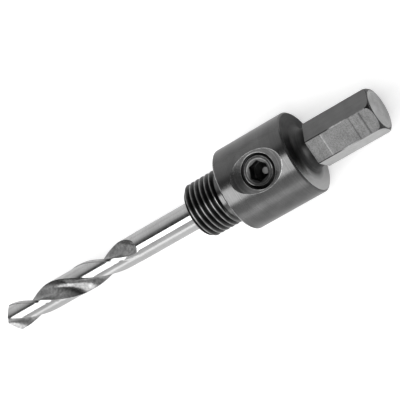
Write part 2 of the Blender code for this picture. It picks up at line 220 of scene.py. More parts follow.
def shape_with(piece, other, operation):
    """Join, cut or trim one piece with another, which is used up, and weld the seam."""
    bpy.ops.object.select_all(action="DESELECT")
    bpy.context.view_layer.objects.active = piece
    piece.select_set(True)
    modifier = piece.modifiers.new(operation.title(), "BOOLEAN")
    modifier.object = other
    modifier.operation = operation
    modifier.solver = "EXACT"
    modifier.material_mode = "TRANSFER"
    bpy.ops.object.modifier_apply(modifier=modifier.name)
    bpy.data.objects.remove(other)
    start_edit(piece)
    end_edit()


nose_front = -SHOULDER_STATION
nose = turn_piece("nose_blank", arbor_axis, [
    (nose_front, 0),
    (nose_front, THREAD_RADIUS - NOSE_CHAMFER),
    (nose_front + NOSE_CHAMFER, THREAD_RADIUS + TRIM_CLEARANCE),
    (-NOSE_RUN_OUT - RUN_OUT_SLOPE, THREAD_RADIUS + TRIM_CLEARANCE),
    (-NOSE_RUN_OUT, RELIEF_RADIUS - GROOVE_DEPTH),
    (-NOSE_RUN_OUT, 0),
])
thread = cut_thread(
    "nose_thread",
    arbor_axis,
    THREAD_PITCH,
    THREAD_ROOT_RADIUS,
    THREAD_RADIUS,
    THREAD_CREST_STATION,
    turns=NOSE_TURNS,
)
shape_with(nose, thread, "INTERSECT")
shape_with(arbor_body, nose, "UNION")


# The drive end is a six-sided shank for a three-jaw chuck, milled on the bar that was turned
# first, so its far corners are rounded off.
HEX_START = 20.3 * MM
HEX_CORNER_RADIUS = 5.325 * MM
HEX_ACROSS_FLATS = 9.35 * MM
HEX_TURN = math.radians(21.5)
HEX_CORNER_END = 35.1 * MM
HEX_END = 36.2 * MM
HEX_END_RADIUS = 4.37 * MM
HEX_SHOULDER = (36.03 * MM, 5.3 * MM)
HEX_END_STEPS = 8


def flat_direction(side):
    """The way that one of the shank's six flats faces."""
    angle = HEX_TURN + side * math.tau / 6
    return Vector((0, -math.sin(angle), math.cos(angle)))


def shank_outline():
    """The turned bar of the shank, with its far end rounded over to the end face."""
    start = Vector((HEX_CORNER_END, HEX_CORNER_RADIUS))
    end = Vector((HEX_END, HEX_END_RADIUS))
    rounding = curve(start, Vector(HEX_SHOULDER), end, HEX_END_STEPS)
    return [(HEX_START, 0), (HEX_START, HEX_CORNER_RADIUS), *rounding, (HEX_END, 0)]


shank = turn_piece("hex_shank", arbor_axis, shank_outline())
start_edit(shank)
for side in range(6):
    bpy.ops.mesh.select_all(action="SELECT")
    bpy.ops.mesh.bisect(
        plane_co=arbor_axis[0] + flat_direction(side) * HEX_ACROSS_FLATS / 2,
        plane_no=flat_direction(side),
        use_fill=True,
        clear_outer=True,
        threshold=WELD,
    )
end_edit()
shape_with(arbor_body, shank, "UNION")


# The body is drilled along its axis for the pilot drill, and from the side it is countersunk,
# drilled and tapped for the set screw. Then it is blued all over. Its edges, its thread's crests
# and the hexagon's corners are painted lighter, partly as wear and partly as painted highlight;
# its rear edge, its holes, the thread's roots and the neck are painted darker as painted shade;
# and the hexagon's flats are painted in tones for the light that falls on each.
RUN_IN = 1.0 * MM
BORE_RADIUS = 3.23 * MM
BORE_END = 15.4 * MM
BORE_MOUTH = 0.4 * MM
BORE_POINT = 1.2 * MM
SCREW_STATION = 9.3 * MM
COUNTERSINK_RADIUS = 6.25 * MM
COUNTERSINK_SLOPE = math.tan(math.radians(60))
HOLE_RADIUS = 3.36 * MM
HOLE_ENTRY_RADIUS = 3.88 * MM
HOLE_ENTRY_END = 7.35 * MM
HOLE_STEP = 0.3 * MM
HOLE_BOTTOM = 0.3 * MM
HOLE_EDGE_DROP = 0.06 * MM
HOLE_EDGE_RISE = 0.03 * MM
HOLE_EDGE_WIDTH = 0.1 * MM
SCREW_PITCH = 1.411 * MM
SCREW_CREST_HEIGHT = 6.1 * MM
TAP_RADIUS = 4.02 * MM
TAP_OVERLAP = 0.1 * MM
TAP_START = 1.5 * MM
TAP_LIMIT_RADIUS = 5.0 * MM
TAP_TURNS = 6

screw_axis = (
    Vector((shoulder_x + SCREW_STATION, 0, axis_z)),
    Vector((0, 0, 1)),
    Vector((1, 0, 0)),
)
bore = turn_piece("bore", arbor_axis, [
    (nose_front - RUN_IN, 0),
    (nose_front - RUN_IN, BORE_RADIUS + BORE_MOUTH + RUN_IN),
    (nose_front + BORE_MOUTH, BORE_RADIUS),
    (BORE_END, BORE_RADIUS),
    (BORE_END + BORE_POINT, 0),
], steps=96)
shape_with(arbor_body, bore, "DIFFERENCE")

hole_top = axis_z - body_low.z
cone_low = hole_top - (COUNTERSINK_RADIUS - HOLE_ENTRY_RADIUS) / COUNTERSINK_SLOPE
countersink = turn_piece("countersink", screw_axis, [
    (HOLE_BOTTOM, 0),
    (HOLE_BOTTOM, HOLE_RADIUS),
    (HOLE_ENTRY_END - HOLE_STEP, HOLE_RADIUS),
    (HOLE_ENTRY_END, HOLE_ENTRY_RADIUS),
    (cone_low - HOLE_EDGE_DROP, HOLE_ENTRY_RADIUS),
    (cone_low + HOLE_EDGE_RISE, HOLE_ENTRY_RADIUS + HOLE_EDGE_WIDTH),
    (hole_top + RUN_IN, COUNTERSINK_RADIUS + COUNTERSINK_SLOPE * RUN_IN),
    (hole_top + RUN_IN, 0),
], steps=128)
shape_with(arbor_body, countersink, "DIFFERENCE")
tap = cut_thread(
    "tap",
    screw_axis,
    SCREW_PITCH,
    HOLE_RADIUS - TAP_OVERLAP,
    TAP_RADIUS,
    SCREW_CREST_HEIGHT,
    turns=TAP_TURNS,
    winding=-1,
)
tap_limit = turn_piece("tap_limit", screw_axis, [
    (TAP_START, 0),
    (TAP_START, TAP_LIMIT_RADIUS),
    (HOLE_ENTRY_END, TAP_LIMIT_RADIUS),
    (HOLE_ENTRY_END, 0),
], steps=72)
shape_with(tap, tap_limit, "INTERSECT")
shape_with(arbor_body, tap, "DIFFERENCE")


def finish_shape(piece, sharp_angle):
    """Weld a finished mesh, close its last slits, and shade it smooth but for its edges."""
    start_edit(piece)
    bpy.ops.mesh.remove_doubles(threshold=WELD)
    bpy.ops.mesh.fill_holes(sides=8)
    end_edit()
    bpy.ops.object.shade_smooth_by_angle(angle=sharp_angle)
    even = piece.modifiers.new("Even normals", "WEIGHTED_NORMAL")
    even.keep_sharp = True
    bpy.ops.object.modifier_apply(modifier=even.name)


def add_node(tree, kind, inputs, **options):
    """Add a shader node with its options, and set or link its inputs."""
    item = tree.nodes.new(kind)
    for option, value in options.items():
        setattr(item, option, value)
    for key, value in inputs.items():
        if isinstance(value, bpy.types.NodeSocket):
            tree.links.new(value, item.inputs[key])
        else:
            item.inputs[key].default_value = value
    return item


def new_steel(name, centre, roughness):
    """A bare steel finish, whose patterns are measured in millimetres from a centre."""
    finish = bpy.data.materials.new(name)
    finish.use_nodes = True
    tree = finish.node_tree
    shader = tree.nodes["Principled BSDF"]
    shader.inputs["Metallic"].default_value = 1
    shader.inputs["Roughness"].default_value = roughness
    place = tree.nodes.new("ShaderNodeTexCoord")
    centred = add_node(tree, "ShaderNodeMapping", {
        "Vector": place.outputs["Object"],
        "Location": -centre / MM,
        "Scale": (1 / MM, 1 / MM, 1 / MM),
    })
    return finish, tree, shader, centred.outputs[0]


def combined(tree, operation, *amounts):
    """Two or three amounts combined by an operation."""
    inputs = dict(enumerate(amounts))
    return add_node(tree, "ShaderNodeMath", inputs, operation=operation).outputs[0]


def times(tree, first, second):
    """Two amounts multiplied."""
    return combined(tree, "MULTIPLY", first, second)


def share_between(tree, amount, low, high):
    """How far an amount has come from the low end of a range to its high end, 0 to 1."""
    return add_node(tree, "ShaderNodeMapRange", {0: amount, 1: low, 2: high}).outputs[0]


def tones(tree, amount, stops):
    """Greys that go with an amount from 0 to 1: (amount, grey) pairs, in order."""
    ramp = add_node(tree, "ShaderNodeValToRGB", {"Fac": amount})
    elements = ramp.color_ramp.elements
    while len(elements) < len(stops):
        elements.new(0.5)
    for element, (position, grey) in zip(elements, stops):
        element.position = position
        element.color = (grey, grey, grey, 1)
    return ramp.outputs[0]


def banded(tree, distance, stops):
    """Greys that go with a distance in millimetres: (distance, grey) pairs, in order."""
    low, high = stops[0][0], stops[-1][0]
    shares = [((place - low) / (high - low), grey) for place, grey in stops]
    return tones(tree, share_between(tree, distance, low, high), shares)


def between(tree, pattern, dark, pale, limits=(0.3, 0.7)):
    """Greys from dark to pale as a pattern goes from one limit to the other."""
    return tones(tree, pattern, [(limits[0], dark), (limits[1], pale)])


def mottle(tree, place, scale, detail=3.0):
    """Soft blotches, so many to each unit that the place is measured in."""
    inputs = {"Vector": place, "Scale": scale, "Detail": detail}
    return add_node(tree, "ShaderNodeTexNoise", inputs).outputs[0]


def scored(tree, distance, scale):
    """Fine lines across a distance, so many to the millimetre, of uneven depth."""
    inputs = {"W": distance, "Scale": scale, "Detail": 4.0, "Roughness": 0.65}
    return add_node(tree, "ShaderNodeTexNoise", inputs, noise_dimensions="1D").outputs[0]


def groove(tree, shader, lines, depth):
    """Press lines into the surface to a depth in metres."""
    inputs = {"Height": lines, "Distance": depth, "Strength": 1.0}
    bump = add_node(tree, "ShaderNodeBump", inputs)
    tree.links.new(bump.outputs[0], shader.inputs["Normal"])


def radius_of(tree, place, weights):
    """How far a place is from an axis, where the weights leave out the axis's own direction."""
    across = add_node(tree, "ShaderNodeVectorMath", {0: place, 1: weights}, operation="MULTIPLY")
    length = add_node(tree, "ShaderNodeVectorMath", {0: across.outputs[0]}, operation="LENGTH")
    return length.outputs["Value"]


def distance_towards(tree, place, direction):
    """How far a place lies in a direction, stretched by the direction's length."""
    inputs = {0: place, 1: direction}
    return add_node(
        tree, "ShaderNodeVectorMath", inputs, operation="DOT_PRODUCT"
    ).outputs["Value"]


def station_of(tree, place, axis="X"):
    """How far a place lies along one of its three axes."""
    return add_node(tree, "ShaderNodeSeparateXYZ", {0: place}).outputs[axis]


# Weights for the distance from the bar's own axis, and from the upright axis of the screw
FROM_BAR = (0, 1, 1)
FROM_SCREW = (1, 1, 0)
RIM_WIDTH = 0.11
CROWN_FADE = (-5.0, -2.0)
# Along the front edge, how much it is painted lighter as wear and painted highlight
FRONT_EDGE_WEAR_AND_HIGHLIGHT = [(-0.12, 0), (-0.02, 1), (0.35, 0.8), (0.53, 0)]
# Along the rear edge, how much darker it is painted, as painted shade
REAR_EDGE_PAINTED_SHADE = [(17.42, 1), (17.54, 0.45)]
# The lighter grey of the edges' wear and painted highlight
WORN_EDGE_AND_HIGHLIGHT = (0.45, 0.45, 0.45, 1)


def rim_wear_and_highlight(tree, place):
    """One on the countersink's crown and on the edge of the hole in it, which are painted
    lighter as wear and painted highlight, and nought elsewhere.

    Places are measured from the bar's axis below the screw. The crown fades towards the nose.
    """
    from_screw = radius_of(tree, place, FROM_SCREW)
    cone = add_node(tree, "ShaderNodeMapRange", {
        0: station_of(tree, place, "Z"),
        1: cone_low / MM,
        2: hole_top / MM,
        3: HOLE_ENTRY_RADIUS / MM,
        4: COUNTERSINK_RADIUS / MM,
    }, clamp=False)
    off_cone = combined(tree, "SUBTRACT", from_screw, cone.outputs[0])
    on_cone = combined(tree, "COMPARE", off_cone, 0.0, RIM_WIDTH)
    from_bar = radius_of(tree, place, FROM_BAR)
    on_body = combined(tree, "COMPARE", from_bar, body_radius / MM, RIM_WIDTH / 2)
    on_hole = combined(tree, "COMPARE", from_screw, HOLE_ENTRY_RADIUS / MM, RIM_WIDTH)
    fade = share_between(tree, station_of(tree, place), *CROWN_FADE)
    crown = times(tree, times(tree, on_cone, on_body), fade)
    return combined(tree, "MAXIMUM", crown, on_hole)


def turned_gunmetal():
    """Blued turned steel: fine lines round it, faint blotches, and edges painted lighter as wear
    and painted highlight.
    """
    finish, tree, shader, place = new_steel("turned_gunmetal", arbor_axis[0], 0.2)
    station = station_of(tree, place)
    lines = scored(tree, station, 4.5)
    patches = between(tree, mottle(tree, place, 0.3), 0.125, 0.165)
    grain = between(tree, mottle(tree, place, 7, 2), 0.92, 1.08)
    blued = times(tree, times(tree, patches, between(tree, lines, 0.86, 1.14)), grain)
    # The rear edge is painted darker as painted shade
    blued = times(tree, blued, banded(tree, station, REAR_EDGE_PAINTED_SHADE))
    below_screw = add_node(tree, "ShaderNodeVectorMath", {
        0: place, 1: (-SCREW_STATION / MM, 0, 0),
    })
    front_edge = banded(tree, station, FRONT_EDGE_WEAR_AND_HIGHLIGHT)
    edges = combined(tree, "MAXIMUM", front_edge, rim_wear_and_highlight(tree, below_screw.outputs[0]))
    # The edges are painted lighter: partly wear and partly painted highlight
    painted_highlight = times(tree, edges, between(tree, mottle(tree, place, 1.2), 0.25, 1, (0.35, 0.6)))
    colour = add_node(
        tree, "ShaderNodeMix", {0: painted_highlight, 6: blued, 7: WORN_EDGE_AND_HIGHLIGHT}, data_type="RGBA"
    )
    tree.links.new(colour.outputs[2], shader.inputs["Base Color"])
    polish = between(tree, grain, 0.18, 0.24, (0.9, 1.0))
    tree.links.new(polish, shader.inputs["Roughness"])
    groove(tree, shader, lines, 0.001 * MM)
    return finish


# The side and the radii of the rear face's painted reflection
PAINTED_REFLECTION_SIDE = (0, -0.15, -0.04)
PAINTED_REFLECTION_RADII = (5.4, 6.8)
# Along the neck, how much darker it is painted, as painted shade
NECK_PAINTED_SHADE = [(18.8, 1), (20.2, 0.35)]


def faced_steel(name, dark, pale, roughness=0.3, painted_highlight=0.0):
    """A face cut across the bar in the lathe, with fine rings, and, if asked for, a painted
    reflection that lightens one side and painted shade that darkens the neck.
    """
    finish, tree, shader, place = new_steel(name, arbor_axis[0], roughness)
    radius = radius_of(tree, place, FROM_BAR)
    rings = scored(tree, radius, 3.5)
    patches = between(tree, mottle(tree, place, 0.45), dark, pale)
    colour = times(tree, patches, between(tree, rings, 0.85, 1.15))
    if painted_highlight:
        # A painted reflection lightens one side of the face
        side = distance_towards(tree, place, PAINTED_REFLECTION_SIDE)
        cloud = times(tree, mottle(tree, place, 0.5), 0.5)
        painted_reflection = between(tree, combined(tree, "ADD", side, cloud), 0, painted_highlight, (0.2, 0.7))
        painted_reflection = times(tree, painted_reflection, share_between(tree, radius, *PAINTED_REFLECTION_RADII))
        with_painted_highlight = combined(tree, "ADD", colour, painted_reflection)
        # The neck is painted darker as painted shade
        colour = times(tree, with_painted_highlight, banded(tree, station_of(tree, place), NECK_PAINTED_SHADE))
    tree.links.new(colour, shader.inputs["Base Color"])
    groove(tree, shader, rings, 0.006 * MM)
    return finish


def threaded_gunmetal():
    """The cut thread: painted dark in its roots as painted shade, and light on its crests as
    wear and painted highlight.
    """
    finish, tree, shader, place = new_steel("threaded_gunmetal", arbor_axis[0], 0.3)
    height = share_between(
        tree, radius_of(tree, place, FROM_BAR), THREAD_ROOT_RADIUS / MM, THREAD_RADIUS / MM
    )
    # Painted shade in the roots, and wear and painted highlight on the crests
    flank = tones(tree, height, [(0.0, 0.02), (0.5, 0.05), (0.85, 0.12), (1.0, 0.38)])
    colour = times(tree, flank, between(tree, mottle(tree, place, 1.1), 0.7, 1.15))
    tree.links.new(colour, shader.inputs["Base Color"])
    groove(tree, shader, mottle(tree, place, 5), 0.002 * MM)
    return finish


# The marks along one flat, each a station and how much brighter or darker the steel is there
FLAT_MARKS = [
    (20.3, 0.7), (20.78, 0.9), (23.81, 1.0), (23.99, 1.9), (24.16, 1.0), (30.79, 1.0),
    (31.0, 0.4), (31.21, 1.0), (33.18, 1.0), (33.48, 0.44), (33.78, 1.0),
]


def flat_steel(name, dark, pale, turn, scale, contrast, marks=()):
    """A flat of the shank, whose fine lines run along it but for a turn in radians."""
    finish, tree, shader, place = new_steel(name, arbor_axis[0], 0.3)
    station = station_of(tree, place)
    slant = (math.sin(turn), math.cos(turn), math.cos(turn))
    lines = scored(tree, distance_towards(tree, place, slant), scale)
    patches = between(tree, mottle(tree, place, 0.4), dark, pale)
    worked = between(tree, lines, 1 - contrast, 1 + contrast, (0.25, 0.75))
    colour = times(tree, patches, worked)
    if marks:
        pits = between(tree, mottle(tree, place, 4, 2), 0.78, 1.1, (0.36, 0.58))
        colour = times(tree, times(tree, colour, pits), banded(tree, station, marks))
    tree.links.new(colour, shader.inputs["Base Color"])
    groove(tree, shader, lines, 0.001 * MM)
    return finish


# How light the corners are painted along the shank, as wear and painted highlight, each a
# station and a grey
CORNER_WEAR_AND_HIGHLIGHT_TONES = [
    (20.3, 0.05), (25.7, 0.06), (27.0, 0.5), (29.2, 0.45), (30.8, 0.24), (36.2, 0.24),
]


def corner_wear_and_highlight_steel():
    """The corners of the shank, knocked rough by the chuck's jaws, and painted lighter along
    part of it as wear and painted highlight.
    """
    finish, tree, shader, place = new_steel("corner_wear_and_highlight_steel", arbor_axis[0], 0.5)
    with_painted_highlight = banded(tree, station_of(tree, place), CORNER_WEAR_AND_HIGHLIGHT_TONES)
    colour = times(tree, with_painted_highlight, between(tree, mottle(tree, place, 1.5), 0.7, 1.2))
    tree.links.new(colour, shader.inputs["Base Color"])
    groove(tree, shader, mottle(tree, place, 5), 0.002 * MM)
    return finish


def countersunk_steel():
    """The countersink: rings round the screw's axis from the cutter, blued, with its rims
    painted lighter as wear and painted highlight.
    """
    finish, tree, shader, place = new_steel("countersunk_steel", screw_axis[0], 0.26)
    rings = scored(tree, radius_of(tree, place, FROM_SCREW), 2.6)
    patches = between(tree, mottle(tree, place, 0.4), 0.17, 0.26)
    cut = times(tree, patches, between(tree, rings, 0.75, 1.25))
    patchy = between(tree, mottle(tree, place, 0.8), 0.1, 0.5, (0.35, 0.6))
    # The crown and the hole's edge are painted lighter as wear and painted highlight
    colour = combined(tree, "ADD", cut, times(tree, rim_wear_and_highlight(tree, place), patchy))
    tree.links.new(colour, shader.inputs["Base Color"])
    groove(tree, shader, rings, 0.003 * MM)
    return finish


def bored_steel():
    """Inside the drilled and tapped holes: painted darker than the outside as painted shade,
    with the drill's rough lines.
    """
    finish, tree, shader, place = new_steel("bored_steel", screw_axis[0], 0.45)
    colour = between(tree, mottle(tree, place, 2.5), 0.04, 0.08)
    tree.links.new(colour, shader.inputs["Base Color"])
    groove(tree, shader, mottle(tree, place, 6), 0.004 * MM)
    return finish


# How far the finishes reach, in millimetres along the bar or from its axis or the screw's
BORE_REACH = BORE_RADIUS / MM + 0.07
HOLE_REACH = TAP_RADIUS / MM + 0.18
HOLE_REACH_TOP = 7.9
COUNTERSINK_REACH = COUNTERSINK_RADIUS / MM + 0.15
SHANK_FINISH_START = HEX_START / MM + 0.01
NECK_FINISH_END = NECK_END / MM + 1
CORNER_REACH = HEX_CORNER_RADIUS / MM - 0.125
FILLET_REACH = body_radius / MM - 0.48
THREAD_REACH = THREAD_ROOT_RADIUS / MM - 0.3
THREAD_FINISH_END = -RELIEF_END / MM + 0.6
# How much of a face's normal lies along a direction
SQUARE = 0.999
NEARLY_SQUARE = 0.95
ACROSS_BAR = 0.9
LEVEL = 0.01
ROUND_THE_BAR = 0.985


def shank_finish(station, radius, normal):
    """Which finish a face of the shank has: its end, three pairs of flats, or its corners."""
    if normal.x > SQUARE:
        return "end_face"
    for side in range(6):
        if normal.dot(flat_direction(side)) > SQUARE:
            return ("marked_flat", "brushed_flat", "smooth_flat")[side % 3]
    if abs(normal.x) < LEVEL and radius > CORNER_REACH:
        return "corner"
    return "turned" if station > NECK_FINISH_END else "faced"


def body_finish(centre, normal):
    """Which finish a face of the arbor's body has, by where it is and how it faces."""
    at = (centre - arbor_axis[0]) / MM
    radius = math.hypot(at.y, at.z)
    from_screw = math.hypot(at.x - SCREW_STATION / MM, at.y)
    in_bore = radius < BORE_REACH and at.x < NECK_END / MM
    in_hole = from_screw < HOLE_REACH and 0 < at.z < HOLE_REACH_TOP
    if in_bore or in_hole:
        return "bored"
    outwards = (at.y * normal.y + at.z * normal.z) / max(radius, WELD / MM)
    slanted = outwards < ROUND_THE_BAR and abs(normal.x) < NEARLY_SQUARE
    if from_screw < COUNTERSINK_REACH and at.z > 0 and slanted:
        return "countersunk"
    if at.x > SHANK_FINISH_START:
        return shank_finish(at.x, radius, normal)
    on_fillet = at.x > (BODY_LENGTH - BODY_CHAMFER) / MM and radius < FILLET_REACH
    if abs(normal.x) > ACROSS_BAR or on_fillet:
        return "faced"
    if at.x < THREAD_FINISH_END and radius > THREAD_REACH:
        return "threaded"
    return "turned"


body_finishes = {
    "turned": turned_gunmetal(),
    "faced": faced_steel("faced_gunmetal", dark=0.05, pale=0.08, roughness=0.42, painted_highlight=0.52),
    "threaded": threaded_gunmetal(),
    # The flats' three tones are painted light and shade, set for the light that falls on each
    "smooth_flat": flat_steel(
        "smooth_flat_steel", dark=0.15, pale=0.18, turn=0.0, scale=3.0, contrast=0.06
    ),
    "marked_flat": flat_steel(
        "marked_flat_steel",
        dark=0.12,
        pale=0.158,
        turn=math.pi / 2,
        scale=2.2,
        contrast=0.12,
        marks=FLAT_MARKS,
    ),
    # This pair is painted pale as painted light
    "brushed_flat": flat_steel(
        "brushed_flat_painted_light_steel", dark=0.5, pale=0.62, turn=0.6, scale=3.0, contrast=0.15
    ),
    "end_face": faced_steel("end_face_steel", dark=0.4, pale=0.6),
    "corner": corner_wear_and_highlight_steel(),
    "countersunk": countersunk_steel(),
    "bored": bored_steel(),
}
arbor_body.data.materials.clear()
for finish in body_finishes.values():
    arbor_body.data.materials.append(finish)
finish_shape(arbor_body, math.radians(30))
finish_order = list(body_finishes)
for face in arbor_body.data.polygons:
    face.material_index = finish_order.index(body_finish(face.center, face.normal))
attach(arbor_body, "arbor")
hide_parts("arbor_body")


# The set screw that holds the pilot drill is a short headless screw, 5/16 inch with eighteen
# turns to the inch, rolled in alloy steel and black oxide coated. Its top is chamfered, with a
# hexagon socket that was drilled and then broached.
SCREW_TOP = 7.92 * MM
SCREW_TIP = 3.18 * MM
SCREW_TIP_RADIUS = 2.2 * MM
SCREW_TIP_CHAMFER = 0.9 * MM
SCREW_TOP_RADIUS = 3.24 * MM
SCREW_ROOT_RADIUS = 3.08 * MM
SCREW_RADIUS = 3.8 * MM
SCREW_TURNS = 8
SOCKET_ACROSS_FLATS = 4.05 * MM
SOCKET_TURN = math.radians(-15)
SOCKET_FLOOR = 5.3 * MM
SOCKET_PIT_RADIUS = 0.7 * MM
SOCKET_PIT_FLOOR = 4.2 * MM
SOCKET_PIT_SLOPE = 0.1 * MM
SOCKET_DRILL_RADIUS = 1.95 * MM
SOCKET_CHAMFER_RADIUS = 2.71 * MM
SOCKET_CHAMFER_DEPTH = 0.24 * MM

set_screw = turn_piece("hex_socket_set_screw", screw_axis, [
    (SCREW_TIP, 0),
    (SCREW_TIP, SCREW_TIP_RADIUS),
    (SCREW_TIP + SCREW_TIP_CHAMFER, SCREW_RADIUS + TRIM_CLEARANCE),
    (SCREW_TOP - (SCREW_RADIUS - SCREW_TOP_RADIUS), SCREW_RADIUS + TRIM_CLEARANCE),
    *rounded(
        (SCREW_TOP - RUN_IN, SCREW_TOP_RADIUS + RUN_IN),
        (SCREW_TOP, SCREW_TOP_RADIUS),
        (SCREW_TOP, 0),
    ),
    (SCREW_TOP, 0),
], steps=96)
screw_thread = cut_thread(
    "screw_thread",
    screw_axis,
    SCREW_PITCH,
    SCREW_ROOT_RADIUS,
    SCREW_RADIUS,
    SCREW_CREST_HEIGHT,
    turns=SCREW_TURNS,
    winding=-1,
)

bpy.ops.object.select_all(action="DESELECT")
bpy.ops.mesh.primitive_cylinder_add(
    vertices=6,
    radius=SOCKET_ACROSS_FLATS / math.sqrt(3),
    depth=SCREW_TOP + RUN_IN - SOCKET_FLOOR,
    location=screw_axis[0] + Vector((0, 0, (SCREW_TOP + RUN_IN + SOCKET_FLOOR) / 2)),
    rotation=(0, 0, SOCKET_TURN),
)
broach = bpy.context.object
broach.name = "broach"
bpy.ops.object.transform_apply(location=True, rotation=True, scale=False)
shape_with(set_screw, broach, "DIFFERENCE")
socket_drill = turn_piece("socket_drill", screw_axis, [
    (SOCKET_PIT_FLOOR, 0),
    (SOCKET_PIT_FLOOR, SOCKET_PIT_RADIUS),
    (SOCKET_FLOOR - SOCKET_PIT_SLOPE, SOCKET_DRILL_RADIUS),
    (SCREW_TOP - SOCKET_CHAMFER_DEPTH, SOCKET_DRILL_RADIUS),
    (SCREW_TOP + TRIM_CLEARANCE, SOCKET_CHAMFER_RADIUS),
    (SCREW_TOP + RUN_IN, SOCKET_CHAMFER_RADIUS),
    (SCREW_TOP + RUN_IN, 0),
], steps=72)
shape_with(set_screw, socket_drill, "DIFFERENCE")
shape_with(set_screw, screw_thread, "INTERSECT")


# Two rings of the screw's top are painted lighter as wear and painted highlight, each place a
# radius in millimetres and a grey
TOP_WEAR_AND_HIGHLIGHT_TONES = [
    (2.5, 0.06), (2.6, 0.16), (2.72, 0.14), (2.78, 0.05),
    (3.06, 0.05), (3.14, 0.3), (3.26, 0.3), (3.34, 0.05),
]
TOP_WEAR_AND_HIGHLIGHT_DEPTH = 0.13
# The grey of the painted highlight in the socket's pit
PIT_HIGHLIGHT_TONE = 0.15


def black_oxide():
    """Black oxide on rolled steel, painted lighter in two rings of the top as wear and painted
    highlight, and in the pit as a painted highlight.
    """
    finish, tree, shader, place = new_steel("black_oxide", screw_axis[0], 0.33)
    height = station_of(tree, place, "Z")
    coated = between(tree, mottle(tree, place, 0.9), 0.03, 0.06)
    on_top = combined(tree, "GREATER_THAN", height, SCREW_TOP / MM - TOP_WEAR_AND_HIGHLIGHT_DEPTH)
    rings = banded(tree, radius_of(tree, place, FROM_SCREW), TOP_WEAR_AND_HIGHLIGHT_TONES)
    painted_highlight = times(tree, rings, between(tree, mottle(tree, place, 1.6), 0.6, 1.1))
    # The pit's floor is painted lighter as a painted highlight
    in_pit = combined(tree, "COMPARE", height, SOCKET_PIT_FLOOR / MM, 0.02)
    with_painted_highlight = combined(tree, "MAXIMUM", times(tree, on_top, painted_highlight), times(tree, in_pit, PIT_HIGHLIGHT_TONE))
    colour = combined(tree, "MAXIMUM", with_painted_highlight, coated)
    tree.links.new(colour, shader.inputs["Base Color"])
    groove(tree, shader, mottle(tree, place, 5), 0.002 * MM)
    return finish


set_screw.data.materials.clear()
set_screw.data.materials.append(black_oxide())
finish_shape(set_screw, math.radians(30))
for face in set_screw.data.polygons:
    face.material_index = 0
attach(set_screw, "screw")
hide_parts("set_screw")


# The pilot drill is a quarter-inch twist drill of high-speed steel, ground bright all over. Its
# two flutes have one outline that turns along the drill and runs out where the wheel left it,
# and a short flat is ground on its plain end for the set screw.
DRILL_RADIUS = 3.175 * MM
DRILL_TIP = -64.9 * MM
DRILL_END = 15.1 * MM
DRILL_END_CHAMFER = 0.4 * MM
POINT_ANGLE = math.radians(118)
LIP_CLEARANCES = (math.radians(10), math.radians(30))
LIP_TURN = math.radians(95)
FLUTE_LENGTH = 38.8 * MM
FLUTE_LEAD = 41.5 * MM
FLUTE_ANGLE = math.radians(98)
FLUTE_RUN_OUT = 8 * MM
FLUTE_STEP = 0.5 * MM
CURVE_STEPS = 160
WALL_POINTS = 25
PLAIN_WALL_SPREAD = 3
PLAIN_STEPS = 4
LAND_POINTS = 12
WEB = 0.65 * MM
MARGIN_WIDTH = 0.6 * MM
LAND_CLEARANCE = 0.12 * MM
TIP_ALLOWANCE = 0.5 * MM
FLAT_HEIGHT = 2.875 * MM
FLAT_START = 4.5 * MM
FLAT_WHEEL = 12 * MM

corner_height = DRILL_RADIUS / math.tan(POINT_ANGLE / 2)
corner_angle = -math.asin(WEB / DRILL_RADIUS)


def flute_wall(lift):
    """The flute's outline from the cutting edge to the heel, moved outwards by the lift.

    Where the lift takes it all out of the drill, it is a short arc of the drill's round side.
    """
    heel_angle = corner_angle - FLUTE_ANGLE
    middle_angle = (corner_angle + heel_angle) / 2
    outwards = Vector((math.cos(middle_angle), math.sin(middle_angle)))
    edge = Vector((math.cos(corner_angle), math.sin(corner_angle))) * DRILL_RADIUS
    heel = Vector((math.cos(heel_angle), math.sin(heel_angle))) * DRILL_RADIUS
    controls = (edge, Vector((WEB, -WEB / 2)), Vector((-WEB, -WEB)), heel)
    wall = []
    for index in range(CURVE_STEPS + 1):
        along = index / CURVE_STEPS
        rest = 1 - along
        shares = (rest**3, 3 * rest**2 * along, 3 * rest * along**2, along**3)
        point = outwards * lift
        for control, share in zip(controls, shares):
            point = point + control * share
        wall.append(point)
    inside = [point for point in wall if point.length <= DRILL_RADIUS * 1.000001]
    if len(inside) < 4:
        inside = []
        for index in range(CURVE_STEPS + 1):
            aside = PLAIN_WALL_SPREAD - 2 * PLAIN_WALL_SPREAD * index / CURVE_STEPS
            angle = middle_angle + math.radians(aside)
            inside.append(Vector((math.cos(angle), math.sin(angle))) * DRILL_RADIUS)
    inside[0] = inside[0].normalized() * DRILL_RADIUS
    inside[-1] = inside[-1].normalized() * DRILL_RADIUS
    return spread_evenly(inside, WALL_POINTS)


def spread_evenly(points, count):
    """A number of points spread evenly along a line of points."""
    lengths = [0.0]
    for start, end in zip(points, points[1:]):
        lengths.append(lengths[-1] + (end - start).length)
    spread = []
    segment = 0
    for index in range(count):
        target = lengths[-1] * index / (count - 1)
        while segment < len(points) - 2 and lengths[segment + 1] < target:
            segment += 1
        span = lengths[segment + 1] - lengths[segment]
        share = (target - lengths[segment]) / span if span else 0.0
        spread.append(points[segment].lerp(points[segment + 1], share))
    return spread


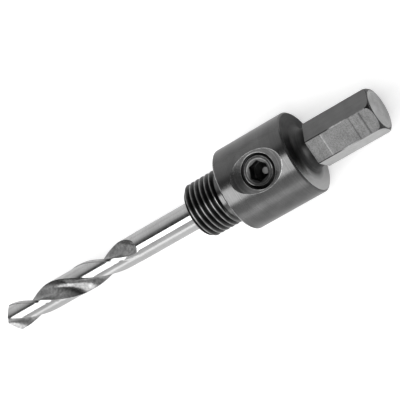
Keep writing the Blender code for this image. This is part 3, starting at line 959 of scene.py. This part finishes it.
def drill_section(lift, clearance, turn):
    """The drill's whole section: a margin, a land and a flute, and the same again opposite."""
    wall = flute_wall(lift)
    edge_angle = math.atan2(wall[0].y, wall[0].x)
    heel_angle = math.atan2(wall[-1].y, wall[-1].x) + math.pi
    margin_end = edge_angle + MARGIN_WIDTH / DRILL_RADIUS
    step_end = margin_end + LAND_CLEARANCE / DRILL_RADIUS
    margin = (edge_angle, (edge_angle + margin_end) / 2, margin_end)
    polar = [(angle, DRILL_RADIUS) for angle in margin]
    for index in range(LAND_POINTS):
        angle = step_end + (heel_angle - step_end) * index / (LAND_POINTS - 1)
        polar.append((angle, DRILL_RADIUS - clearance))
    half = [Vector((size * math.cos(angle), size * math.sin(angle))) for angle, size in polar]
    half += [-point for point in reversed(wall)][1:-1]
    spin = Matrix.Rotation(turn, 2)
    return [spin @ point for point in half] + [spin @ -point for point in half]


def drill_stations():
    """(height above the tip, section) pairs from just before the tip to the chamfered end."""
    start = -TIP_ALLOWANCE
    run_out_start = FLUTE_LENGTH - FLUTE_RUN_OUT
    depth = DRILL_RADIUS - WEB
    count = math.ceil((FLUTE_LENGTH - start) / FLUTE_STEP)
    stations = []
    for index in range(count + 1):
        height = start + (FLUTE_LENGTH - start) * index / count
        faded = min(1.0, max(0.0, (height - run_out_start) / FLUTE_RUN_OUT))
        turn = LIP_TURN - corner_angle + (height - corner_height) / FLUTE_LEAD * math.tau
        lift = depth * (1 - math.sqrt(1 - faded**2))
        stations.append((height, drill_section(lift, LAND_CLEARANCE * (1 - faded), turn)))
    plain = drill_section(2 * depth, 0.0, turn)
    length = DRILL_END - DRILL_TIP
    last = length - DRILL_END_CHAMFER
    for index in range(PLAIN_STEPS):
        share = (index + 1) / PLAIN_STEPS
        stations.append((FLUTE_LENGTH + (last - FLUTE_LENGTH) * share, plain))
    smaller = 1 - DRILL_END_CHAMFER / DRILL_RADIUS
    stations.append((length, [point * smaller for point in plain]))
    return stations


def place_ring(piece, height, section):
    """Put the selected ring of a piece's vertices on a section of the drill."""
    mesh = bmesh.from_edit_mesh(piece.data)
    ring = [vertex for vertex in mesh.verts if vertex.select]
    for vertex, point in zip(ring, section):
        vertex.co = (shoulder_x + DRILL_TIP + height, point.y, axis_z - point.x)
    bmesh.update_edit_mesh(piece.data)


first_ring, *later_rings = drill_stations()
bpy.ops.object.select_all(action="DESELECT")
bpy.ops.mesh.primitive_circle_add(
    vertices=len(first_ring[1]), radius=DRILL_RADIUS, fill_type="NGON", location=(0, 0, 0)
)
pilot_drill = bpy.context.object
pilot_drill.name = "twist_pilot_drill"
pilot_drill.data.name = "twist_pilot_drill"
start_edit(pilot_drill)
place_ring(pilot_drill, *first_ring)
for height, section in later_rings:
    bpy.ops.mesh.extrude_region_move(TRANSFORM_OT_translate={"value": (FLUTE_STEP, 0, 0)})
    place_ring(pilot_drill, height, section)
end_edit()

tip_turn = LIP_TURN - corner_angle - corner_height / FLUTE_LEAD * math.tau
lip = Vector((math.sin(POINT_ANGLE / 2), 0, math.cos(POINT_ANGLE / 2)))
start_edit(pilot_drill)
for side in range(2):
    for clearance in LIP_CLEARANCES:
        behind = Vector((0, math.cos(clearance), math.sin(clearance)))
        inwards = Matrix.Rotation(tip_turn + side * math.pi, 3, "Z") @ lip.cross(behind)
        bpy.ops.mesh.select_all(action="SELECT")
        bpy.ops.mesh.bisect(
            plane_co=(shoulder_x + DRILL_TIP, 0, axis_z),
            plane_no=(-inwards.z, -inwards.y, inwards.x),
            use_fill=True,
            clear_outer=True,
            threshold=WELD,
        )
end_edit()

bpy.ops.object.select_all(action="DESELECT")
bpy.ops.mesh.primitive_cube_add(
    size=FLAT_WHEEL,
    location=(
        shoulder_x + FLAT_START + FLAT_WHEEL / 2, 0, axis_z + FLAT_HEIGHT + FLAT_WHEEL / 2
    ),
)
flat_wheel = bpy.context.object
bpy.ops.object.transform_apply(location=True, rotation=False, scale=False)
shape_with(pilot_drill, flat_wheel, "DIFFERENCE")


ROUND_THE_DRILL = 0.97
HOLLOW_RADIUS = (DRILL_RADIUS - LAND_CLEARANCE) / MM - 0.05


def ground_steel():
    """Ground high-speed steel: fine lines round the drill from the grinding wheel."""
    finish, tree, shader, place = new_steel("ground_steel", arbor_axis[0], 0.16)
    lines = scored(tree, station_of(tree, place), 3.0)
    patches = between(tree, mottle(tree, place, 0.3), 0.52, 0.6)
    colour = times(tree, patches, between(tree, lines, 0.93, 1.03))
    tree.links.new(colour, shader.inputs["Base Color"])
    polish = between(tree, mottle(tree, place, 2), 0.12, 0.2)
    tree.links.new(polish, shader.inputs["Roughness"])
    groove(tree, shader, lines, 0.0005 * MM)
    return finish


def flute_steel():
    """The flutes, polished unevenly by the wheel and a little greyer."""
    finish, tree, shader, place = new_steel("flute_steel", arbor_axis[0], 0.25)
    marks = mottle(tree, place, 1.6, 5)
    wide = between(tree, mottle(tree, place, 0.35), 0.7, 1.1, (0.35, 0.65))
    colour = times(tree, wide, between(tree, marks, 0.18, 0.36))
    tree.links.new(colour, shader.inputs["Base Color"])
    groove(tree, shader, marks, 0.002 * MM)
    return finish


def in_flute(centre, normal):
    """Whether a face of the drill belongs to a flute or to the ground point."""
    at = (centre - arbor_axis[0]) / MM
    radius = math.hypot(at.y, at.z)
    outwards = (at.y * normal.y + at.z * normal.z) / radius
    hollow = outwards < ROUND_THE_DRILL or radius < HOLLOW_RADIUS
    return at.x < (DRILL_TIP + FLUTE_LENGTH) / MM and hollow


pilot_drill.data.materials.clear()
for finish in (ground_steel(), flute_steel()):
    pilot_drill.data.materials.append(finish)
finish_shape(pilot_drill, math.radians(25))
for face in pilot_drill.data.polygons:
    face.material_index = int(in_flute(face.center, face.normal))
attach(pilot_drill, "drill")
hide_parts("pilot_drill")


# The studio: a wide pale floor, and pale walls that the steel mirrors, which darken towards
# the ceiling and beyond the shank. A long soft lamp hangs overhead and a faint one stands
# beside the arbor. The camera looks down on the set screw's side of it.
FLOOR_SIZE = 8.0
FLOOR_GRAIN = 900
FLOOR_TONES = [(0, 0.76), (1, 0.80)]
FLOOR_GLOW = 0.52
MIRRORED_GLOW = 0.06
WALL_TONES = [(0.40, 0.74), (0.69, 0.5), (0.82, 0.04)]
CURTAIN_TONES = [(0.25, 1), (0.75, 0.25)]
LAMP_DISTANCE = 0.55
LAMP_LENGTH = 0.9
LAMP_STATION = -0.24
OVERHEAD_LAMP = (math.radians(14), 0.43, 3.6)
SIDE_LAMP = (math.radians(80), 0.2, 0.4)
CAMERA_PLACE = Vector((166.310, -58.821, 372.663)) * MM
CAMERA_AIM = Vector((5.527, 2.123, 9.846)) * MM
CAMERA_ROLL = math.radians(97.20)
CAMERA_LENS = 168.03
CAMERA_SENSOR = 36

bpy.ops.object.select_all(action="DESELECT")
bpy.ops.mesh.primitive_plane_add(size=FLOOR_SIZE, location=(0, 0, 0))
floor = bpy.context.object
floor.name = "studio_floor"
start_edit(floor)
bpy.ops.mesh.subdivide(number_cuts=7)
end_edit()
floor_paint = bpy.data.materials.new("pale_floor")
floor_paint.use_nodes = True
tree = floor_paint.node_tree
shader = tree.nodes["Principled BSDF"]
shader.inputs["Roughness"].default_value = 0.9
shader.inputs["Specular IOR Level"].default_value = 0.2
shader.inputs["Emission Color"].default_value = (1, 1, 1, 1)
rays = tree.nodes.new("ShaderNodeLightPath")
mirrored = times(tree, rays.outputs["Is Glossy Ray"], MIRRORED_GLOW)
glow = combined(tree, "MULTIPLY_ADD", rays.outputs["Is Camera Ray"], FLOOR_GLOW, mirrored)
tree.links.new(glow, shader.inputs["Emission Strength"])
place = tree.nodes.new("ShaderNodeTexCoord")
grain = mottle(tree, place.outputs["Object"], FLOOR_GRAIN, 2)
tree.links.new(tones(tree, grain, FLOOR_TONES), shader.inputs["Base Color"])
floor.data.materials.append(floor_paint)

walls = bpy.data.worlds.new("pale_walls")
bpy.context.scene.world = walls
walls.use_nodes = True
tree = walls.node_tree
place = tree.nodes.new("ShaderNodeTexCoord").outputs["Generated"]
wall = tones(tree, station_of(tree, place, "Z"), WALL_TONES)
curtain = tones(tree, station_of(tree, place), CURTAIN_TONES)
tree.links.new(times(tree, wall, curtain), tree.nodes["Background"].inputs["Color"])


def add_softbox(name, tilt, width, power):
    """A long soft lamp above the arbor, swung about X from straight overhead towards -Y."""
    softbox = bpy.data.lights.new(name, "AREA")
    softbox.shape = "RECTANGLE"
    softbox.size = LAMP_LENGTH
    softbox.size_y = width
    softbox.energy = power
    lamp = bpy.data.objects.new(name, softbox)
    bpy.context.collection.objects.link(lamp)
    away = Vector((0, -math.sin(tilt), math.cos(tilt)))
    lamp.matrix_world = (
        Matrix.Translation(Vector((LAMP_STATION, 0, axis_z)) + away * LAMP_DISTANCE)
        @ Matrix.Rotation(tilt, 4, "X")
    )


add_softbox("overhead_softbox", *OVERHEAD_LAMP)
add_softbox("side_softbox", *SIDE_LAMP)

camera_data = bpy.data.cameras.new("camera")
camera_data.lens = CAMERA_LENS
camera_data.sensor_width = CAMERA_SENSOR
camera_data.clip_start = 0.01
camera_data.clip_end = 50
camera = bpy.data.objects.new("camera", camera_data)
bpy.context.collection.objects.link(camera)
look = (CAMERA_AIM - CAMERA_PLACE).to_track_quat("-Z", "Y").to_matrix().to_4x4()
roll = Matrix.Rotation(-CAMERA_ROLL, 4, "Z")
camera.matrix_world = Matrix.Translation(CAMERA_PLACE) @ look @ roll
bpy.context.scene.camera = camera
bpy.context.scene.view_settings.view_transform = "Standard"
